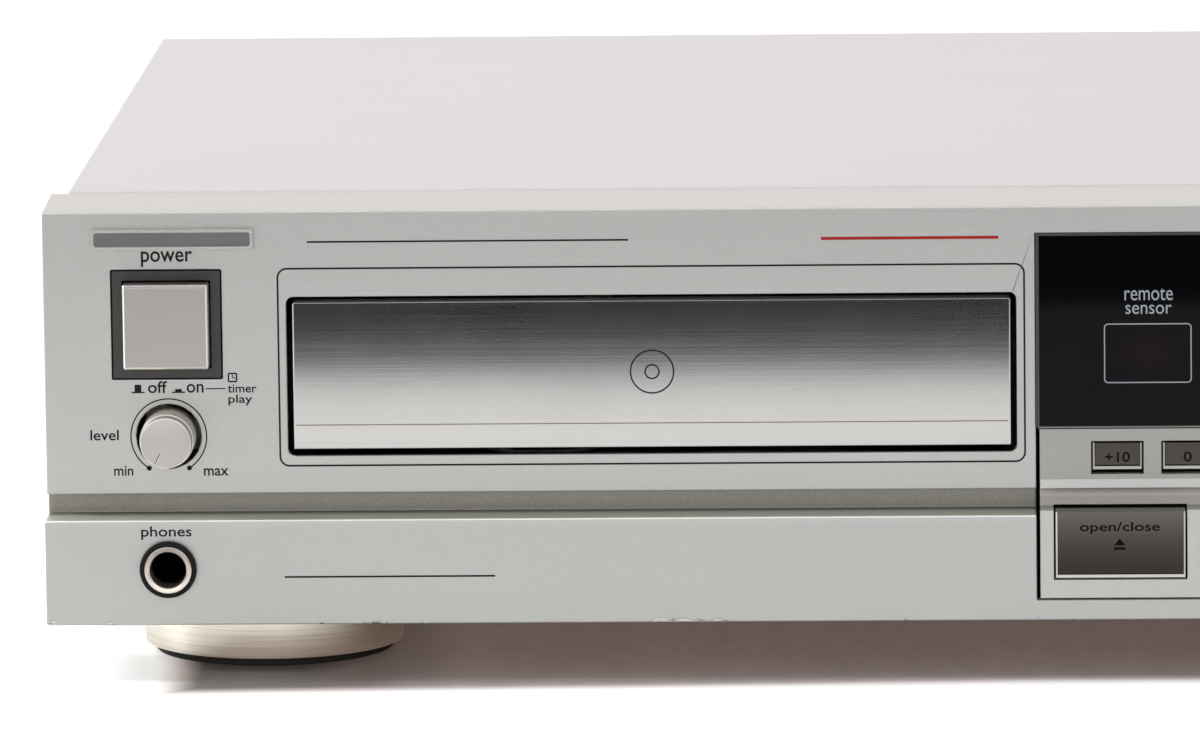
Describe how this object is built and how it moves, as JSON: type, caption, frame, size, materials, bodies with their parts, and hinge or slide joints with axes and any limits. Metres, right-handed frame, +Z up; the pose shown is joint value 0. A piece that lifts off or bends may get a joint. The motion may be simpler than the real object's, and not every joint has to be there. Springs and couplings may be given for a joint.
{
  "type": "cd player",
  "caption": "Full-width silver compact disc player with motor-driven disc drawer, display window, key rows, latching power button, headphone jack and level knob, on round feet.",
  "frame": {"origin": "centre of the bounding box in plan, on the surface that the feet stand on", "axes": "+Z up, the front panel faces -Y, +X to the right as seen from the front"},
  "size_m": [0.43, 0.2852, 0.0922],
  "materials": {
    "satin_silver": "satin silver with a fine speckle",
    "warm_silver": "brushed, bright edges",
    "painted_cover": "pale satin paint",
    "black_plastic": "moulded",
    "grey_plastic": "satin",
    "white_plastic": "acetal gear",
    "key_metal": "dark anodised, bright bevels",
    "bright_steel": "polished nickel",
    "plated_steel": "zinc plated",
    "iron": "varnished laminations",
    "board_green": "lacquered board",
    "rubber": "matt",
    "smoked_glass": "smoked acrylic",
    "champagne_metal": "turned and brushed"
  },
  "bodies": {
    "root": {"front_panel": "satin_silver", "nameplate": "bright_steel", "power_bezel": "grey_plastic", "power_switch": "black_plastic", "level_pot": "plated_steel", "phones_jack": "bright_steel", "phones_ring": "black_plastic", "side_board": "board_green", "control_panel": "satin_silver", "display_window": "smoked_glass", "display_module": "smoked_glass", "control_board": "board_green", "chassis": "plated_steel", "top_cover": "painted_cover", "rear_panel": "plated_steel", "line_out_jacks": "black_plastic", "optical_out": "black_plastic", "cord_gland": "black_plastic", "main_board": "board_green", "transformer": "iron", "front_foot_left": "champagne_metal", "front_foot_right": "champagne_metal", "front_pad_left": "rubber", "front_pad_right": "rubber", "rear_foot_left": "black_plastic", "rear_foot_right": "black_plastic", "mechanism_base": "black_plastic", "clamp_bridge": "plated_steel", "loading_motor": "plated_steel", "drive_belt": "rubber"},
    "drawer": {"disc_tray": "black_plastic", "drawer_front": "warm_silver"},
    "power_button": {"power_button": "warm_silver"},
    "level_knob": {"level_knob": "warm_silver"},
    "key_plus_10": {"key_plus_10": "key_metal"},
    "key_0": {"key_0": "key_metal"},
    "key_1": {"key_1": "key_metal"},
    "key_2": {"key_2": "key_metal"},
    "key_3": {"key_3": "key_metal"},
    "key_4": {"key_4": "key_metal"},
    "key_5": {"key_5": "key_metal"},
    "key_6": {"key_6": "key_metal"},
    "key_7": {"key_7": "key_metal"},
    "key_8": {"key_8": "key_metal"},
    "key_9": {"key_9": "key_metal"},
    "key_open_close": {"key_open_close": "key_metal"},
    "key_stop": {"key_stop": "key_metal"},
    "key_pause": {"key_pause": "key_metal"},
    "key_play": {"key_play": "key_metal"},
    "key_skip": {"key_skip": "key_metal"},
    "traverse": {"traverse_deck": "plated_steel", "spindle_motor": "plated_steel", "guide_rod": "bright_steel"},
    "turntable": {"turntable": "black_plastic"},
    "pickup": {"pickup_sled": "black_plastic"},
    "feed_gear": {"feed_gear": "white_plastic"},
    "tray_gear": {"tray_gear": "white_plastic"},
    "belt_pulley": {"belt_pulley": "white_plastic"},
    "motor_pulley": {"motor_pulley": "plated_steel"},
    "puck": {"clamp_puck": "black_plastic"}
  },
  "joints": [
    {"name": "drawer_slide", "type": "slide", "parent": "root", "child": "drawer", "axis": [0, -1, 0], "range_m": [0, 0.136]},
    {"name": "tray_gear_spin", "type": "hinge", "parent": "root", "child": "tray_gear", "pos_m": [-0.1403, -0.0959, 0.0389], "axis": [0, 0, 1], "continuous": true},
    {"name": "belt_pulley_spin", "type": "hinge", "parent": "root", "child": "belt_pulley", "pos_m": [-0.1193, -0.0959, 0.0389], "axis": [0, 0, 1], "continuous": true},
    {"name": "motor_pulley_spin", "type": "hinge", "parent": "root", "child": "motor_pulley", "pos_m": [-0.0813, -0.0959, 0.0389], "axis": [0, 0, 1], "continuous": true},
    {"name": "power_push", "type": "slide", "parent": "root", "child": "power_button", "axis": [0, 1, 0], "range_m": [0, 0.003]},
    {"name": "level_turn", "type": "hinge", "parent": "root", "child": "level_knob", "pos_m": [-0.1909, -0.1426, 0.0469], "axis": [0, 1, 0], "range_deg": [0, 300]},
    {"name": "plus_10_push", "type": "slide", "parent": "root", "child": "key_plus_10", "axis": [0, 1, 0], "range_m": [0, 0.001], "stiffness_N_per_m": 300, "springref_m": -0.0005},
    {"name": "key_0_push", "type": "slide", "parent": "root", "child": "key_0", "axis": [0, 1, 0], "range_m": [0, 0.001], "stiffness_N_per_m": 300, "springref_m": -0.0005},
    {"name": "key_1_push", "type": "slide", "parent": "root", "child": "key_1", "axis": [0, 1, 0], "range_m": [0, 0.001], "stiffness_N_per_m": 300, "springref_m": -0.0005},
    {"name": "key_2_push", "type": "slide", "parent": "root", "child": "key_2", "axis": [0, 1, 0], "range_m": [0, 0.001], "stiffness_N_per_m": 300, "springref_m": -0.0005},
    {"name": "key_3_push", "type": "slide", "parent": "root", "child": "key_3", "axis": [0, 1, 0], "range_m": [0, 0.001], "stiffness_N_per_m": 300, "springref_m": -0.0005},
    {"name": "key_4_push", "type": "slide", "parent": "root", "child": "key_4", "axis": [0, 1, 0], "range_m": [0, 0.001], "stiffness_N_per_m": 300, "springref_m": -0.0005},
    {"name": "key_5_push", "type": "slide", "parent": "root", "child": "key_5", "axis": [0, 1, 0], "range_m": [0, 0.001], "stiffness_N_per_m": 300, "springref_m": -0.0005},
    {"name": "key_6_push", "type": "slide", "parent": "root", "child": "key_6", "axis": [0, 1, 0], "range_m": [0, 0.001], "stiffness_N_per_m": 300, "springref_m": -0.0005},
    {"name": "key_7_push", "type": "slide", "parent": "root", "child": "key_7", "axis": [0, 1, 0], "range_m": [0, 0.001], "stiffness_N_per_m": 300, "springref_m": -0.0005},
    {"name": "key_8_push", "type": "slide", "parent": "root", "child": "key_8", "axis": [0, 1, 0], "range_m": [0, 0.001], "stiffness_N_per_m": 300, "springref_m": -0.0005},
    {"name": "key_9_push", "type": "slide", "parent": "root", "child": "key_9", "axis": [0, 1, 0], "range_m": [0, 0.001], "stiffness_N_per_m": 300, "springref_m": -0.0005},
    {"name": "open_close_push", "type": "slide", "parent": "root", "child": "key_open_close", "axis": [0, 1, 0], "range_m": [0, 0.001], "stiffness_N_per_m": 400, "springref_m": -0.0005},
    {"name": "stop_push", "type": "slide", "parent": "root", "child": "key_stop", "axis": [0, 1, 0], "range_m": [0, 0.001], "stiffness_N_per_m": 400, "springref_m": -0.0005},
    {"name": "pause_push", "type": "slide", "parent": "root", "child": "key_pause", "axis": [0, 1, 0], "range_m": [0, 0.001], "stiffness_N_per_m": 400, "springref_m": -0.0005},
    {"name": "play_push", "type": "slide", "parent": "root", "child": "key_play", "axis": [0, 1, 0], "range_m": [0, 0.001], "stiffness_N_per_m": 400, "springref_m": -0.0005},
    {"name": "skip_rock", "type": "hinge", "parent": "root", "child": "key_skip", "pos_m": [0.16128, -0.1383, 0.0253], "axis": [0, 0, 1], "range_deg": [-2, 2], "stiffness_Nm_per_rad": 0.1},
    {"name": "traverse_tilt", "type": "hinge", "parent": "root", "child": "traverse", "pos_m": [-0.09655, 0.0461, 0.0353], "axis": [1, 0, 0], "range_deg": [0, 5]},
    {"name": "turntable_spin", "type": "hinge", "parent": "traverse", "child": "turntable", "pos_m": [-0.09655, -0.0619, 0.055], "axis": [0, 0, 1], "continuous": true},
    {"name": "puck_spin", "type": "hinge", "parent": "root", "child": "puck", "pos_m": [-0.09655, -0.0619, 0.0583], "axis": [0, 0, 1], "continuous": true},
    {"name": "pickup_slide", "type": "slide", "parent": "traverse", "child": "pickup", "axis": [0, 1, 0], "range_m": [0, 0.035]},
    {"name": "feed_gear_spin", "type": "hinge", "parent": "traverse", "child": "feed_gear", "pos_m": [-0.06359, -0.0119, 0.0406], "axis": [0, 0, 1], "continuous": true}
  ],
  "couplings": [
    {"joint": "tray_gear_spin", "follows": "drawer_slide", "rad_per_m": 83.333},
    {"joint": "belt_pulley_spin", "follows": "drawer_slide", "rad_per_m": -208.33},
    {"joint": "motor_pulley_spin", "follows": "drawer_slide", "rad_per_m": -723.38},
    {"joint": "feed_gear_spin", "follows": "pickup_slide", "rad_per_m": -125},
    {"joint": "puck_spin", "follows": "turntable_spin", "ratio": 1}
  ]
}
